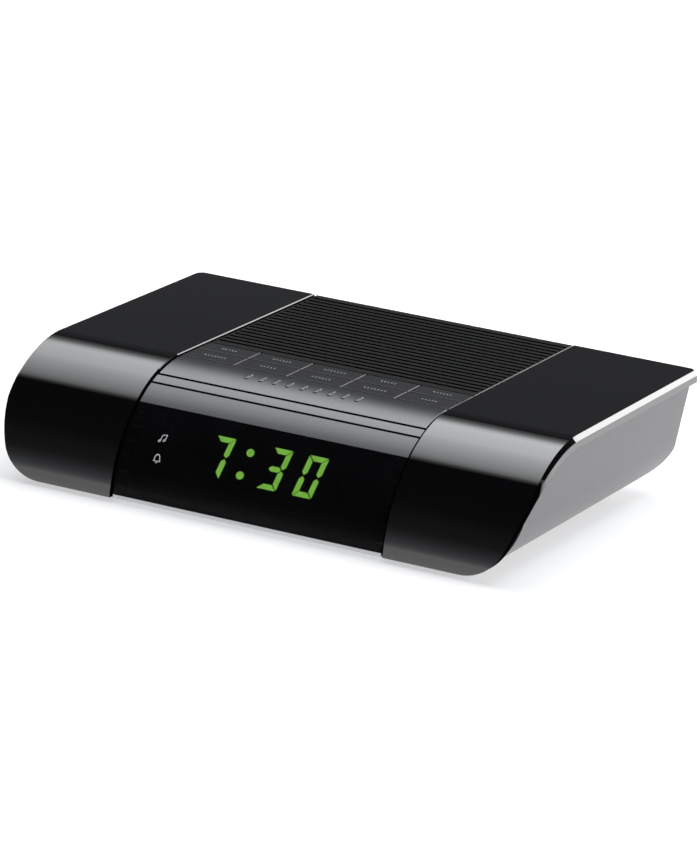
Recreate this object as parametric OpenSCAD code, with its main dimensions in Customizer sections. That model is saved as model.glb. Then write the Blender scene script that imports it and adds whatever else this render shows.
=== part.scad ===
// Low clock radio with a waterfall front. Two gloss wings flank a satin centre strip that holds the
// loudspeaker grille, ten keys, a snooze bar and a smoked display lens, all over an inset lower tub.
// Millimetres. +Z is up, the front faces -Y, and the origin is on the table under the cabinet's middle.

/* [Cabinet] */
// Overall width across both wings
body_w = 213; // [211:1:216]
// Overall depth from the front flap to the rear edge
body_d = 152.5; // [151.5:0.5:153.5]
// Overall height above the table
body_h = 45; // [44.8:0.1:46]
// Radius of the waterfall front
front_r = 46.5; // [46.3:0.1:46.8]
// Gap between the front flap and the table
flap_gap = 1.7; // [1.4:0.1:2]
// Depth of the rim round each wing
rim_t = 4.2; // [4.1:0.1:4.4]
// Wall of a wing inside its rim
wing_wall = 2.2; // [1.8:0.1:2.6]
// Width of the bevel on the rim's upper edge
rim_bevel = 1.5; // [1:0.1:1.8]
// Width of the bevel beside the centre strip
seam_bevel = 0.3; // [0.2:0.1:0.5]
// Radius of the flap's lower corners
flap_corner_r = 17; // [15:0.5:18]
// Radius of the flap's slightly bowed sides
flap_side_r = 84; // [78:1:84]
// Radius of the rear corners of the top
rear_corner_r = 4.5; // [4:0.5:6]

/* [Centre strip] */
// Half width of the satin centre strip
strip_half = 54.4; // [54:0.1:54.8]
// Gap between the strip and each wing
seam_gap = 0.5; // [0.3:0.1:0.8]
// How far the strip lies below the wings
strip_recess = 0.5; // [0.3:0.1:0.7]
// Number of slots in the loudspeaker grille
slot_count = 20; // [16:1:20]
// Spacing of the grille slots
slot_pitch = 3.88; // [3.6:0.01:3.9]
// Width of a grille slot
slot_w = 1.7; // [1.2:0.1:2]
// Angle where the snooze bar ends on the curve
snooze_end = 20.5; // [19.8:0.1:20.7]
// Angle where the brow strip starts
brow_start = 21.9; // [21.5:0.1:22.2]
// Angle of the groove across the brow strip
groove_at = 27.4; // [26.5:0.1:28]
// Angle where the display lens starts
lens_start = 39.8; // [39:0.1:41]
// Angle where the silver trim starts
trim_start = 84.4; // [83.8:0.1:84.6]

/* [Keys] */
// Number of keys in a row
key_cols = 5; // [5]
// Travel of a key
key_travel = 0.7; // [0.4:0.1:0.8]
// Gap between neighbouring keys
key_gap = 0.45; // [0.35:0.05:0.6]
// Rounding of a key's upper edges
key_round = 0.5; // [0.3:0.1:0.7]

/* [Lower tub] */
// Inset of the tub's sides under the wings
tub_inset = 2.3; // [2:0.1:2.6]
// Inset of the tub's rear wall under the top
tub_rear_inset = 2; // [1.8:0.1:2.4]
// Lean of the rear wall
rear_lean = 17.4; // [16.8:0.1:18]
// Lean of the side walls
side_lean = 2.7; // [2.2:0.1:3]
// Rounding under the sides
side_round = 18.2; // [17.6:0.1:19]
// Rounding under the rear wall
rear_round = 28; // [27:0.5:29]
// Height of the underside above the table
tub_floor = 3.5; // [3.4:0.1:3.6]
// Wall of the tub
tub_wall = 2.2; // [2:0.1:2.4]

/* [Display] */
// Height of a digit
digit_h = 15.6; // [14:0.1:16.6]
// Width of a digit
digit_w = 7.6; // [7:0.1:8.6]
// Slant of the digits
digit_slant = 8; // [0:1:12]
// Width of a segment
seg_w = 1.9; // [1.4:0.1:2.2]

/* [Hidden] */
$fn = 96;
big = 200;
arc_lap = 0.01;
bevel_lap = 0.02;
half_w = body_w / 2;
flap_reach = 75.5;
rear_y = body_d - flap_reach;
axis_z = body_h - front_r;
flap_end = acos((flap_gap - axis_z) / front_r);
axis_y = -flap_reach + front_r * sin(flap_end);
wing_x = strip_half + seam_gap;
strip_r = front_r - strip_recess;
strip_top = body_h - strip_recess;
rim_w = 3;
clear = 4;
peg_r = 1.5;
peg_fit = 0.1;
wing_pegs_x = [wing_x + 12, half_w - 12];
wing_pegs_y = [-12, 48];

// Flap corner: the lower corner's centre lies this far in from the side
corner_in = 21.7;
corner_x = half_w - corner_in;
corner_z = flap_gap + flap_corner_r;
bow_rise = sqrt(pow(flap_side_r - flap_corner_r, 2) - pow(flap_side_r - corner_in, 2));
bow_z = corner_z + bow_rise;
bow_steps = 8;
corner_steps = 22;

// Upper cabinet, the moulding under the wings and the strip
cab_wall = 2;
cab_rear = rear_y - 6;
cab_end = 79;
cab_inset = tub_wall + 0.4;
cab_r = front_r - rim_t;
skirt_r = cab_r - 0.3;
cab_top = body_h - rim_t;
cab_under = cab_top - cab_wall;

// Key rows, as front and rear edges
grille_front = -6.8;
row_rear = [-16.92, -7.1];
row_front = [-28, -17.22];
key_pitch = 2 * (strip_half + key_gap / 2) / key_cols;
key_t = 2.1;
key_floor = strip_top - key_t;
stem_r = 2;
stem_fit = 0.15;

// Key board and its switches
board_t = 1.6;
key_board_top = 32;
key_board_y = [-43, -8.5];
key_board_half = 53;
tact_size = 6;
tact_h = 3.5;
tact_pin_r = 1.7;
tact_top = key_board_top + 4.5;
tact_rest = 0.25;
key_post_x = [-1.5 * key_pitch, -0.5 * key_pitch, 0.5 * key_pitch, 1.5 * key_pitch];
key_post_y = -17.1;
key_post_r = 2.4;

// Snooze bar and its pins
snooze_t = 2.2;
snooze_start = -0.5;
snooze_turn = 2.2;
pin_y = -31.2;
pin_z = 37.6;
pin_r = 1.5;
pin_fit = 0.05;
arm_x = 47.2;
arm_t = 2.2;
cheek_x = 50;
cheek_t = 2.5;
snooze_post_x = 21.5;
snooze_post_y = -39;

// Display
view_angle = 57.5;
lens_t = 2;
module_face = 41.8;
module_back = 34;
module_x = [-40, 30];
module_half = 9.6;
window_half = 41.5;
display_half = 49;
display_rise = 11.5;
digit_x = [-32.4, -17.95, 5.15, 19.45];
digit_mid = 0.4;
colon_x = -6.7;
colon_rise = 4.4;
colon_r = 1.45;
seg_t = 0.4;
seg_cut = 0.34;
LIT = [[], [0, 1, 2], [0, 1, 2, 3, 6], [0, 1, 2, 3, 4, 5]];

// Loudspeaker
spk_y = 37;
spk_flange_r = 31;
spk_open_r = 26.8;
spk_screw_r = 34.4;
screw_r = 1.2;
pilot_r = 1.25;

// Tub insides
floor_in = tub_floor + tub_wall;
tub_top = cab_top - 0.5;
tub_half = half_w - tub_inset;
tub_rear = rear_y - tub_rear_inset;
tub_front_r = cab_r - 0.4;
tub_corner_r = 3;
corner_tilt = -atan(tan(rear_lean) * cos(side_lean));
corner_side = [1, 0];
corner_rear = [sin(side_lean) * sin(rear_lean),
    cos(rear_lean) * cos(corner_tilt) - sin(rear_lean) * sin(corner_tilt) * cos(side_lean)];

// Case screws as x, y and the height of the seat under the head
case_screws_at = [[-62, -48, 9], [62, -48, 9], [-62, 61, 15], [62, 61, 15]];
case_seat_t = 5;
case_head_r = 2.8;
case_shank_r = 1.5;
case_grip = 12;
main_x = [32, 86];
main_y = [-20, 50];
main_low = 8.7;
main_top = main_low + board_t;
main_screws_at = [[36, -16], [82, -16], [36, 46], [82, 46]];
xfmr_at = [-72, 37];
xfmr_low = 10;
xfmr_size = [36, 30, 14];
xfmr_screw = [14.5, 11.5];
bay_x = 26.5;
bay_y = [-24, 0];
bay_top = 16.4;
bay_wall = 1.6;
door_t = 1.6;
door_low = 1.7;
door_half = 29.5;
door_y = [-26, 2];
door_travel = 24;
rail_end = door_y[1] + door_travel + 2;
gland_z = 22;
cord_x = -78;
aerial_x = 78;
gland_in = 64;
gland_face = 71.4;
gland_lip = 1.2;
gland_seat = gland_face - gland_lip;

// Bushes in the rear wall as x, body radius, bore radius and flange radius
cord_bush = [cord_x, 4.95, 3.2, 6.6];
aerial_bush = [aerial_x, 3.15, 1.2, 4.6];
bush_fit = 0.05;
feet_at = [[-74, -46], [74, -46], [-74, 36], [74, 36]];

KEY_NAMES = [for (row = ["rear", "front"], col = [1:key_cols]) str("key_", row, "_", col)];

// A side profile (y, z) drawn out along X
module across(x0, x1) {
    translate([x0, 0, 0])
        rotate([90, 0, 90])
            linear_extrude(x1 - x0)
                children();
}

// A front profile (x, z) drawn out along Y
module along(y0, y1) {
    translate([0, y1, 0])
        rotate([90, 0, 0])
            linear_extrude(y1 - y0)
                children();
}

// A section (radius, x) swept round the axis of the front curve; angles start at the top
module sweep(a0, a1) {
    translate([0, axis_y, axis_z])
        rotate([0, -90, 180])
            rotate([0, 0, a0])
                rotate_extrude(angle = a1 - a0)
                    children();
}

// A frame on the front curve: Y runs up the surface and Z out of it, measured from the axis
module on_curve(angle) {
    translate([0, axis_y, axis_z])
        rotate([angle, 0, 0])
            children();
}

// A box from one corner to the other
module box(low, high) {
    translate(low)
        cube(high - low);
}

// A cylinder that points along X
module pin_x(x0, x1, r) {
    translate([x0, 0, 0])
        rotate([0, 90, 0])
            cylinder(h = x1 - x0, r = r);
}

// A cylinder that points along Y
module pin_y_dir(y0, y1, r) {
    translate([0, y1, 0])
        rotate([90, 0, 0])
            cylinder(h = y1 - y0, r = r);
}

// What a rounding takes off a corner. From the arc's centre c, n1 and n2 point to the arc's two ends.
// The arc is a hair larger than the corner needs, so that it crosses the two faces cleanly
module arc_waste(c, r, n1, n2) {
    reach = r + 1;
    translate(c)
        difference() {
            polygon([[0, 0], reach * n1, reach * (n1 + n2) / (1 + n1 * n2), reach * n2]);
            circle(r + arc_lap);
        }
}

// The same for an upper right corner at the origin
module corner_waste(r) {
    arc_waste([-r, -r], r, [1, 0], [0, 1]);
}

// What a bevel takes off an upper right corner at the origin
module bevel_waste(w) {
    polygon([[-w - 1, 1], [1, -w - 1], [1, 1]]);
}

// A rectangle from low to high whose two upper corners are rounded
module crowned(low, high, r) {
    difference() {
        translate(low)
            square(high - low);
        translate(high)
            corner_waste(r);
        translate([low[0], high[1]])
            mirror([1, 0])
                corner_waste(r);
    }
}

// Side profile of the sheet between two depths under the outer skin
module sheet_profile(t0, t1, a_end, y_end) {
    intersection() {
        translate([axis_y, axis_z])
            difference() {
                circle(front_r - t0);
                circle(front_r - t1);
            }
        translate([axis_y, axis_z])
            polygon([[0, 0], [0, big], [-big, big], [-big * sin(a_end), big * cos(a_end)]]);
    }
    translate([axis_y, body_h - t1])
        square([y_end - axis_y, t1 - t0]);
}

// Side profile of all that lies under a depth below the outer skin
module under_profile(inset, y_end) {
    intersection() {
        translate([axis_y, axis_z])
            circle(front_r - inset);
        translate([axis_y - big, axis_z])
            square([big, big]);
    }
    translate([axis_y, axis_z])
        square([y_end - axis_y, front_r - inset]);
}

// Points on an arc round c, from one angle to another
function arc_points(c, r, a0, a1, steps) =
    [for (i = [0:steps]) let (a = a0 + (a1 - a0) * i / steps) c + r * [cos(a), sin(a)]];

// Right half of the front outline: a bowed side that turns into the flap's lower corner
module flap_outline(inset) {
    bow_c = [half_w - flap_side_r, bow_z];
    turn = atan2(corner_z - bow_c[1], corner_x - bow_c[0]);
    corner = arc_points([corner_x, corner_z], flap_corner_r - inset, -90, turn, corner_steps);
    bow = arc_points(bow_c, flap_side_r - inset, turn * (1 - 1 / bow_steps), 0, bow_steps - 1);
    top = body_h + clear;
    polygon(concat([[0, flap_gap + inset]], corner, bow, [[half_w - inset, top], [0, top]]));
}

// Plan of one wing from x0 outwards, with its rear corner rounded
module wing_plan(x0, inset) {
    difference() {
        translate([x0, -big])
            square([big - x0, big + rear_y - inset]);
        translate([half_w - inset, rear_y - inset])
            corner_waste(rear_corner_r - inset);
    }
}

// What the bevels take off: along the side, round the rear corner, along the rear and beside the strip.
// The straight bevels are a hair deeper and run on into the bends, so that they cross cleanly
module rim_waste() {
    bend_x = half_w - rear_corner_r;
    bend_y = rear_y - rear_corner_r;
    run_on = 2;
    corner_on = 1.2;
    sweep(0, flap_end + clear)
        translate([front_r, half_w])
            bevel_waste(rim_bevel - bevel_lap);
    along(axis_y - run_on, bend_y + corner_on)
        translate([half_w, body_h])
            bevel_waste(rim_bevel);
    translate([bend_x, bend_y, 0])
        rotate_extrude(angle = 90)
            translate([rear_corner_r, body_h])
                bevel_waste(rim_bevel - bevel_lap);
    across(wing_x - 1, bend_x + corner_on)
        translate([rear_y, body_h])
            bevel_waste(rim_bevel);
    sweep(0, flap_end + clear)
        translate([front_r, wing_x])
            mirror([0, 1])
                bevel_waste(seam_bevel - bevel_lap);
    along(axis_y - run_on, rear_y + 1)
        translate([wing_x, body_h])
            mirror([1, 0])
                bevel_waste(seam_bevel);
}

// One gloss wing: a sheet with a deep rim, hollow behind, with locating pegs
module wing() {
    difference() {
        intersection() {
            across(wing_x, half_w + clear)
                sheet_profile(0, rim_t, flap_end + clear, rear_y + clear);
            along(-big, big)
                flap_outline(0);
            linear_extrude(big)
                wing_plan(0, 0);
        }
        rim_waste();
        intersection() {
            across(wing_x + rim_w, half_w + clear)
                sheet_profile(wing_wall, rim_t + 1, flap_end + clear, rear_y + clear);
            along(-big, big)
                flap_outline(rim_w);
            linear_extrude(big)
                wing_plan(0, rim_w);
        }
    }
    for (x = wing_pegs_x, y = wing_pegs_y)
        translate([x, y, cab_under - 1])
            cylinder(h = body_h - wing_wall - cab_under + 1.2, r = peg_r);
}

module left_wing() {
    color("#17181b")
        mirror([1, 0, 0])
            wing();
}

module right_wing() {
    color("#17181b")
        wing();
}

// The cabinet's skin: it follows the wings from below and fits inside the tub's walls
module cabinet_shell() {
    difference() {
        intersection() {
            across(-big, big)
                sheet_profile(rim_t, rim_t + cab_wall, cab_end, cab_rear);
            along(-big, big)
                tub_front(cab_inset);
        }
        tub_corner_waste(cab_inset);
    }
}

// A boss that hangs from the cabinet and ends at a height
module cabinet_boss(x, y, z, r) {
    intersection() {
        translate([x, y, z])
            cylinder(h = big, r = r);
        across(-big, big)
            under_profile(rim_t + cab_wall / 2, cab_rear);
    }
}

// Holes in the cabinet for the wing pegs, key stems, loudspeaker, screws and display
module cabinet_openings() {
    for (side = [-1, 1], x = wing_pegs_x, y = wing_pegs_y)
        translate([side * x, y, 0])
            cylinder(h = big, r = peg_r + peg_fit);
    for (col = [1:key_cols], row = [row_rear, row_front])
        translate([key_x(col), key_mid(row), 0])
            cylinder(h = big, r = stem_r + stem_fit);
    translate([0, spk_y, 0])
        cylinder(h = big, r = spk_open_r - 1.3);
    for (i = [0:2])
        translate(speaker_screw_at(i))
            cylinder(h = big, r = pilot_r);
    for (x = key_post_x)
        translate([x, key_post_y, 0])
            cylinder(h = cab_under + 1, r = pilot_r);
    for (p = case_screws_at)
        translate([p[0], p[1], 0])
            cylinder(h = p[2] + case_seat_t + case_grip, r = case_shank_r + bush_fit);
    box([-cheek_x, -46, cab_r / 2], [cheek_x, row_front[0] - 0.2, body_h]);
    for (side = [0, 1])
        mirror([side, 0, 0])
            translate([0, pin_y, pin_z])
                pin_x(cheek_x - 1, cheek_x + cheek_t + 1, pin_r + pin_fit);
    sweep(43, 78)
        translate([cab_r - 5, -window_half])
            square([6, 2 * window_half]);
    on_curve(view_angle)
        for (side = [-1, 1])
            translate([side * (display_half - 4), 0, module_back - 1])
                cylinder(h = 5, r = pilot_r);
}

module upper_cabinet() {
    color("#26272a")
        difference() {
            union() {
                cabinet_shell();
                sweep(cab_end - 2, flap_end - 0.2)
                    translate([skirt_r - cab_wall, -strip_half])
                        square([cab_wall, 2 * strip_half]);
                for (side = [-1, 1])
                    sweep(lens_start, trim_start - 0.1)
                        translate([cab_r - 0.5, side * (strip_half - 2) - 1.5])
                            square([strip_r - lens_t - cab_r + 0.5, 3]);
                for (x = key_post_x)
                    cabinet_boss(x, key_post_y, key_board_top, key_post_r);
                for (p = case_screws_at)
                    cabinet_boss(p[0], p[1], p[2] + case_seat_t, 4);
                for (i = [0:2])
                    translate(speaker_screw_at(i))
                        translate([0, 0, cab_under - 1.2])
                            cylinder(h = 2, r = 2.6);
                for (side = [-1, 1])
                    intersection() {
                        on_curve(view_angle)
                            translate([side * (display_half - 4), 0, module_back])
                                cylinder(h = 8, r = 2.6);
                        across(-big, big)
                            under_profile(rim_t + cab_wall / 2, cab_rear);
                    }
                for (side = [0, 1])
                    mirror([side, 0, 0])
                        snooze_cheek();
            }
            cabinet_openings();
        }
}

// A cheek under the cabinet that takes one of the snooze bar's pins
module snooze_cheek() {
    intersection() {
        box([cheek_x - 0.6, -36, pin_z - 3.2], [cheek_x + cheek_t, -29.4, body_h]);
        across(0, big)
            under_profile(rim_t + cab_wall / 2, cab_rear);
    }
}

// Ribbed grille: blind grooves all over and slots right through above the loudspeaker
module speaker_grille() {
    first = grille_front + 4.9;
    land = 1;
    groove = 1.8;
    bevel = 0.4;
    color("#2b2c2f")
        difference() {
            across(-strip_half, strip_half)
                difference() {
                    translate([grille_front, cab_top])
                        square([rear_y - 0.2 - grille_front, strip_top - cab_top]);
                    translate([rear_y - 0.2, strip_top])
                        bevel_waste(bevel);
                }
            for (side = [0, 1])
                mirror([side, 0, 0])
                    along(grille_front - 1, rear_y)
                        translate([strip_half, strip_top])
                            bevel_waste(bevel);
            for (i = [0:slot_count - 1])
                box([land - strip_half, first + i * slot_pitch - slot_w / 2, strip_top - groove],
                    [strip_half - land, first + i * slot_pitch + slot_w / 2, body_h]);
            translate([0, spk_y, cab_top - 1])
                linear_extrude(strip_top - cab_top)
                    intersection() {
                        circle(spk_open_r - 1.3);
                        for (i = [0:slot_count - 1])
                            translate([-big, first + i * slot_pitch - slot_w / 2 - spk_y])
                                square([2 * big, slot_w]);
                    }
        }
}

module brow_strip() {
    groove_turn = 1.3;
    groove_depth = 1;
    color("#2c2d30")
        difference() {
            sweep(brow_start, lens_start - 0.25)
                curve_section(cab_r, strip_r, strip_half, key_round);
            sweep(groove_at - groove_turn / 2, groove_at + groove_turn / 2)
                translate([strip_r - groove_depth, -strip_half - 1])
                    square([2, 2 * strip_half + 2]);
        }
}

// Section (radius, x) of a piece on the curve, with its outer side edges rounded
module curve_section(r_in, r_out, half, r) {
    difference() {
        translate([r_in, -half])
            square([r_out - r_in, 2 * half]);
        translate([r_out, half])
            corner_waste(r);
        translate([r_out, -half])
            mirror([0, 1])
                corner_waste(r);
    }
}

module display_lens() {
    color("#08090a")
        sweep(lens_start, trim_start - 0.1)
            curve_section(strip_r - lens_t, strip_r, strip_half, key_round);
}

module lens_trim() {
    color("#b9bcc0")
        sweep(trim_start, flap_end)
            curve_section(skirt_r, strip_r, strip_half, key_round);
}

// The bar follows the curve; two arms carry its pins and two posts reach for the switches
module snooze_bar() {
    in_r = strip_r - snooze_t;
    drop = (pin_y - snooze_post_y) * sin(snooze_turn);
    post_low = tact_top + drop + tact_rest;
    color("#2c2d30") {
        sweep(snooze_start, snooze_end)
            curve_section(in_r, strip_r, strip_half - 0.2, key_round);
        for (side = [0, 1])
            mirror([side, 0, 0])
                snooze_arm(in_r);
        for (side = [-1, 1])
            intersection() {
                translate([side * snooze_post_x, snooze_post_y, post_low])
                    cylinder(h = 10, r = stem_r);
                across(-big, big)
                    under_profile(strip_recess + snooze_t / 2, 0);
            }
    }
}

module snooze_arm(in_r) {
    arm_r = 2.6;
    intersection() {
        across(arm_x, arm_x + arm_t) {
            translate([pin_y, pin_z])
                circle(arm_r);
            translate([pin_y - arm_r, pin_z])
                square([2 * arm_r - 0.6, 10]);
        }
        across(0, big)
            under_profile(strip_recess + snooze_t / 2, 0);
    }
    translate([0, pin_y, pin_z])
        pin_x(arm_x + arm_t / 2, cheek_x + cheek_t - 0.2, pin_r);
}

function key_x(col) = (col - (key_cols + 1) / 2) * key_pitch;
function key_mid(row) = (row[0] + row[1]) / 2;

// One key: a cap with rounded upper edges on a round stem
module key_cap(row, col) {
    half = (key_pitch - key_gap) / 2;
    x = key_x(col);
    stem_low = tact_top + key_travel + tact_rest;
    color("#303135") {
        intersection() {
            along(row[0], row[1])
                crowned([x - half, key_floor], [x + half, strip_top], key_round);
            across(x - half, x + half)
                crowned([row[0], key_floor], [row[1], strip_top], key_round);
        }
        translate([x, key_mid(row), stem_low])
            cylinder(h = key_floor - stem_low + 0.5, r = stem_r);
    }
}

// Side profile of the tub: a leaning rear wall with a rounded foot. Its hollow is open to the front
module tub_side(inset) {
    wall = tub_corner(tub_rear, rear_lean, rear_round, inset, inset > 0 ? body_h : tub_top);
    low = tub_floor + inset;
    front = inset > 0 ? -big : axis_y - tub_front_r - 0.5;
    difference() {
        polygon([[front, low], wall[1], wall[0], [front, wall[0][1]]]);
        arc_waste(wall[2], rear_round - inset, [0, -1], wall[3]);
        if (inset == 0)
            arc_waste([axis_y, axis_z], tub_front_r, [0, 1], [-1, 0]);
    }
}

// Front profile of the tub: two leaning sides with rounded feet
module tub_front(inset) {
    wall = tub_corner(tub_half, side_lean, side_round, inset, body_h + clear);
    flip = [[-1, 0], [0, 1]];
    difference() {
        polygon([wall[1], wall[0], flip * wall[0], flip * wall[1]]);
        for (side = [0, 1])
            mirror([side, 0])
                arc_waste(wall[2], side_round - inset, [0, -1], wall[3]);
    }
}

// A leaning wall that stands at "at" at the tub's top and runs up to a height: its upper and lower
// ends, the centre of the rounding at its foot, and its outward normal
function tub_corner(at, lean, r0, inset, height) =
    let (out = [cos(lean), -sin(lean)], low = tub_floor + inset, r = r0 - inset)
    let (reach = at * out[0] + tub_top * out[1] - inset)
    [[(reach - out[1] * height) / out[0], height], [(reach - out[1] * low) / out[0], low],
        [(reach - r - out[1] * (low + r)) / out[0], low + r], out];

// The tub's outer form, or its hollow when inset
module tub_form(inset) {
    difference() {
        intersection() {
            across(-big, big)
                tub_side(inset);
            along(-big, big)
                tub_front(inset);
        }
        tub_corner_waste(inset);
    }
}

// What the rounding of the two leaning rear corners takes off
module tub_corner_waste(inset) {
    centre = -tub_corner_r * (corner_side + corner_rear) / (1 + corner_side * corner_rear);
    for (side = [0, 1])
        mirror([side, 0, 0])
            translate([tub_half, tub_rear, tub_top])
                rotate([corner_tilt, side_lean, 0])
                    translate([0, 0, -big])
                        linear_extrude(2 * big)
                            arc_waste(centre, tub_corner_r - inset, corner_side, corner_rear);
}

// Bosses, standoffs, pads, battery bay and door rails, before their holes
module tub_fittings() {
    for (p = case_screws_at)
        intersection() {
            translate([p[0], p[1], 0])
                cylinder(h = p[2] + case_seat_t, r = 5);
            across(p[0] - 8, p[0] + 8)
                tub_side(tub_wall / 2);
        }
    for (p = main_screws_at)
        translate([p[0], p[1], tub_floor + 1])
            cylinder(h = main_low - tub_floor - 1, r = 2.6);
    for (s = [-1, 1])
        translate([xfmr_at[0] + s * xfmr_screw[0], xfmr_at[1] + s * xfmr_screw[1], floor_in - 0.3])
            cylinder(h = xfmr_low - floor_in + 0.3, r = 3);
    box([-bay_x - bay_wall, bay_y[0] - bay_wall, tub_floor],
        [bay_x + bay_wall, bay_y[1] + bay_wall, bay_top + bay_wall]);
    for (side = [0, 1])
        mirror([side, 0, 0])
            along(door_y[0] - 2, rail_end)
                polygon([[28.4, 0.5], [32, 0.5], [32, tub_floor + 1], [29.8, tub_floor + 1],
                    [29.8, 1.4], [28.4, 1.4]]);
    box([-30, door_y[0] - 2, 0.5], [30, door_y[0] - 0.3, tub_floor + 1]);
    for (bush = [cord_bush, aerial_bush])
        translate([bush[0], 0, gland_z])
            pin_y_dir(gland_in, gland_seat + 0.2, bush[3] + 1.4);
}

// Slots, holes and the battery bay's mouth
module tub_openings() {
    for (p = case_screws_at)
        translate([p[0], p[1], 0]) {
            cylinder(h = p[2], r = case_head_r + 0.4);
            cylinder(h = big, r = case_shank_r + 0.3);
        }
    for (p = main_screws_at)
        translate([p[0], p[1], tub_floor + 1])
            cylinder(h = big, r = pilot_r);
    for (s = [-1, 1])
        translate([xfmr_at[0] + s * xfmr_screw[0], xfmr_at[1] + s * xfmr_screw[1], floor_in + 0.7])
            cylinder(h = big, r = 1.45);
    box([-bay_x, bay_y[0], -1], [bay_x, bay_y[1], bay_top]);
    for (bush = [cord_bush, aerial_bush])
        translate([bush[0], 0, gland_z]) {
            pin_y_dir(gland_in - 4, big, bush[1] + bush_fit);
            pin_y_dir(gland_seat, big, bush[3] + 0.6);
        }
    for (i = [-4:4])
        box([i * 5 - 1.1, 36, -1], [i * 5 + 1.1, 55, floor_in + 4]);
    for (i = [-3:3])
        box([xfmr_at[0] + 33 + i * 4.5 - 1, 60, 24], [xfmr_at[0] + 33 + i * 4.5 + 1, big, 34]);
    box([-strip_half - 1, -big, -1], [strip_half + 1, axis_y - skirt_r + cab_wall + 1, floor_in + 4]);
}

module lower_tub() {
    color("#6f7073")
        difference() {
            union() {
                difference() {
                    tub_form(0);
                    tub_form(tub_wall);
                }
                tub_fittings();
            }
            tub_openings();
        }
}

// Sliding battery door with a thumb grip
module battery_door() {
    color("#5f6063")
        difference() {
            box([-door_half, door_y[0], door_low], [door_half, door_y[1], door_low + door_t]);
            for (i = [0:3])
                box([-9, door_y[1] - 4 - 2 * i, 0], [9, door_y[1] - 3 - 2 * i, door_low + 0.5]);
        }
}

// Four spring plates, two for each cell
module battery_contacts() {
    color("silver")
        for (side = [-1, 1], cell = [-1, 1])
            translate([side * (bay_x - 0.35), -12 + cell * 6, 6])
                box([-0.35, -4, 0], [0.35, 4, 9]);
}

module rubber_feet() {
    color("#1b1b1c")
        for (p = feet_at)
            translate([p[0], p[1], 0])
                rotate_extrude()
                    polygon([[0, 0], [5.4, 0], [6.2, 0.8], [6.2, tub_floor], [0, tub_floor]]);
}

// A pan-head screw whose head sits on z = 0 and whose shank points up
module screw(head_r, head_h, shank_r, length) {
    translate([0, 0, -head_h])
        cylinder(h = head_h, r = head_r);
    cylinder(h = length, r = shank_r);
}

module case_screws() {
    color("silver")
        for (p = case_screws_at)
            translate(p)
                screw(case_head_r, 2.2, case_shank_r, case_seat_t + case_grip - 1);
}

// A flanged bush in the rear wall
module gland(bush) {
    translate([bush[0], 0, gland_z])
        difference() {
            union() {
                pin_y_dir(gland_in, gland_face, bush[1]);
                pin_y_dir(gland_seat, gland_face, bush[3]);
            }
            pin_y_dir(0, big, bush[2]);
        }
}

module cord_gland() {
    color("#222326")
        gland(cord_bush);
}

module aerial_gland() {
    color("#222326")
        gland(aerial_bush);
}

module key_board() {
    color("#1f6b3a")
        difference() {
            box([-key_board_half, key_board_y[0], key_board_top - board_t],
                [key_board_half, key_board_y[1], key_board_top]);
            for (x = key_post_x)
                translate([x, key_post_y, 0])
                    cylinder(h = big, r = 1.5);
        }
}

module tact_switch(x, y) {
    translate([x, y, key_board_top]) {
        box([-tact_size / 2, -tact_size / 2, 0], [tact_size / 2, tact_size / 2, tact_h]);
        cylinder(h = tact_top - key_board_top, r = tact_pin_r);
    }
}

module tact_switches() {
    color("#3a3a3c") {
        for (col = [1:key_cols], row = [row_rear, row_front])
            tact_switch(key_x(col), key_mid(row));
        for (side = [-1, 1])
            tact_switch(side * snooze_post_x, snooze_post_y);
    }
}

module key_board_screws() {
    color("silver")
        for (x = key_post_x)
            translate([x, key_post_y, key_board_top - board_t])
                screw(2.4, 1.6, screw_r, 6);
}

module led_module() {
    color("#101112")
        on_curve(view_angle)
            box([module_x[0], -module_half, module_back], [module_x[1], module_half, module_face]);
}

// Outlines of a digit's bars, with mitred ends: the top bar, the upper right bar and the middle bar
wide = digit_w / 2;
tall = digit_h / 2;
seg_tip = wide - seg_w / 2 - seg_cut * 1.5;
SEG_TOP = [[seg_w + seg_cut - wide, tall - seg_w], [wide - seg_w - seg_cut, tall - seg_w],
    [wide - seg_cut, tall], [seg_cut - wide, tall]];
SEG_RIGHT = [[wide - seg_w / 2, seg_cut], [wide, seg_w / 2 + seg_cut], [wide, tall - seg_cut],
    [wide - seg_w, tall - seg_w - seg_cut], [wide - seg_w, seg_w / 2 + seg_cut]];
SEG_MIDDLE = [[-seg_tip, 0], [seg_w / 2 - seg_tip, -seg_w / 2], [seg_tip - seg_w / 2, -seg_w / 2],
    [seg_tip, 0], [seg_tip - seg_w / 2, seg_w / 2], [seg_w / 2 - seg_tip, seg_w / 2]];

// The seven bars clockwise from the top, then the middle one, as an outline and its mirroring in x and y
SEGMENTS = [[SEG_TOP, 1, 1], [SEG_RIGHT, 1, 1], [SEG_RIGHT, 1, -1], [SEG_TOP, 1, -1],
    [SEG_RIGHT, -1, -1], [SEG_RIGHT, -1, 1], [SEG_MIDDLE, 1, 1]];

// A point leaned over with the digits
function slanted(p) = [p[0] + p[1] * tan(digit_slant), p[1]];

// An outline mirrored in x and y. Its points are turned round where that would run it backwards
function mirrored(points, x, y) =
    let (last = len(points) - 1)
    [for (i = [0:last]) let (p = points[x * y > 0 ? i : last - i]) [x * p[0], y * p[1]]];

module segment(digit, i) {
    bar = SEGMENTS[i];
    translate([digit_x[digit], digit_mid, module_face])
        linear_extrude(seg_t)
            polygon([for (p = mirrored(bar[0], bar[1], bar[2])) slanted(p)]);
}

function is_lit(digit, i) = len(search(i, LIT[digit])) > 0;

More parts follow.
